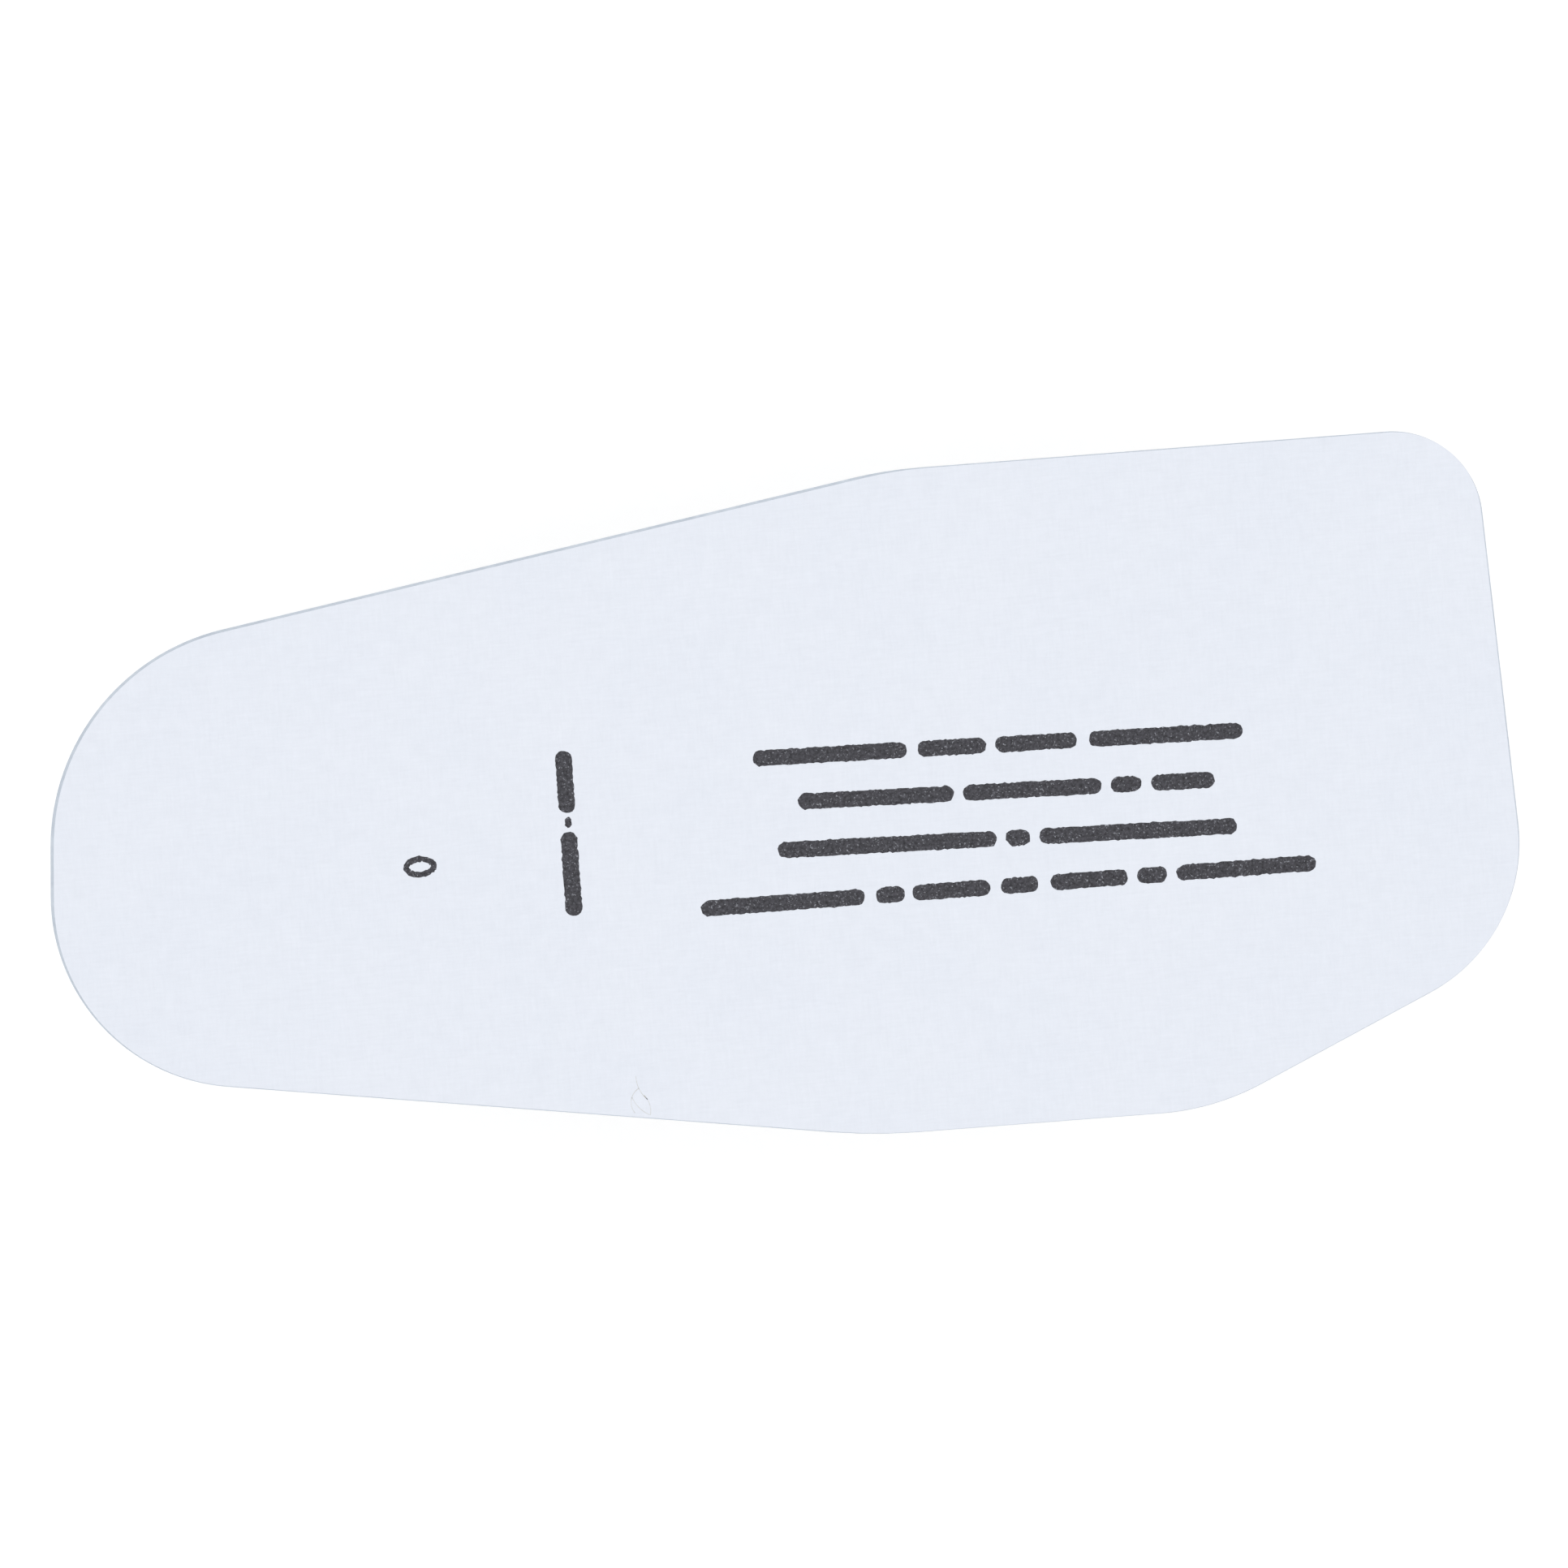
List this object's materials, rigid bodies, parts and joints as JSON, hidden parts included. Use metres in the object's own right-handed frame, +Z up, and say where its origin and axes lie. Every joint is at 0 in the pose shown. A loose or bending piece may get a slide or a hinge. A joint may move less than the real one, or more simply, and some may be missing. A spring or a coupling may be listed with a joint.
{
  "type": "sealed eye dropper pack",
  "caption": "Peel-open pack: a clear formed tray with a paper lid, holding a glass eye dropper with a ribbed screw collar and a rubber bulb.",
  "frame": {"origin": "middle of the outline, on the plane that the tray stands on", "axes": "+X along the pack towards the wide end with the peel corner, +Y towards the long edge without the chamfer, +Z up out of the paper lid"},
  "size_m": [0.0906, 0.0408, 0.0202],
  "materials": {
    "clear_sheet": "gloss",
    "lid_paper": "matte",
    "seal_coating": "satin",
    "pipette_glass": "gloss",
    "collar_plastic": "satin",
    "bulb_rubber": "matte"
  },
  "bodies": {
    "tray": {"blister_tray": "clear_sheet"},
    "lid": {"lid_paper": "lid_paper", "heat_seal_band": "seal_coating"},
    "dropper": {"glass_pipette": "pipette_glass"},
    "collar": {"screw_collar": "collar_plastic"},
    "bulb": {"rubber_bulb": "bulb_rubber"}
  },
  "joints": [
    {"name": "lid_peel", "type": "hinge", "parent": "tray", "child": "lid", "pos_m": [-0.0451, 0, 0.02018], "axis": [0, -1, 0], "range_deg": [0, 150]},
    {"name": "dropper_lift", "type": "slide", "parent": "tray", "child": "dropper", "axis": [0, 0, 1], "range_m": [0, 0.04]},
    {"name": "collar_spin", "type": "hinge", "parent": "dropper", "child": "collar", "pos_m": [0.0085, 0, 0.0098], "axis": [1, 0, 0], "continuous": true},
    {"name": "bulb_squeeze", "type": "slide", "parent": "dropper", "child": "bulb", "axis": [0, 0, -1], "range_m": [0, 0.004], "stiffness_N_per_m": 500, "deforming": ["rubber_bulb"]}
  ],
  "couplings": [
    {"joint": "dropper_lift", "follows": "lid_peel", "m_per_rad": 0.015}
  ]
}
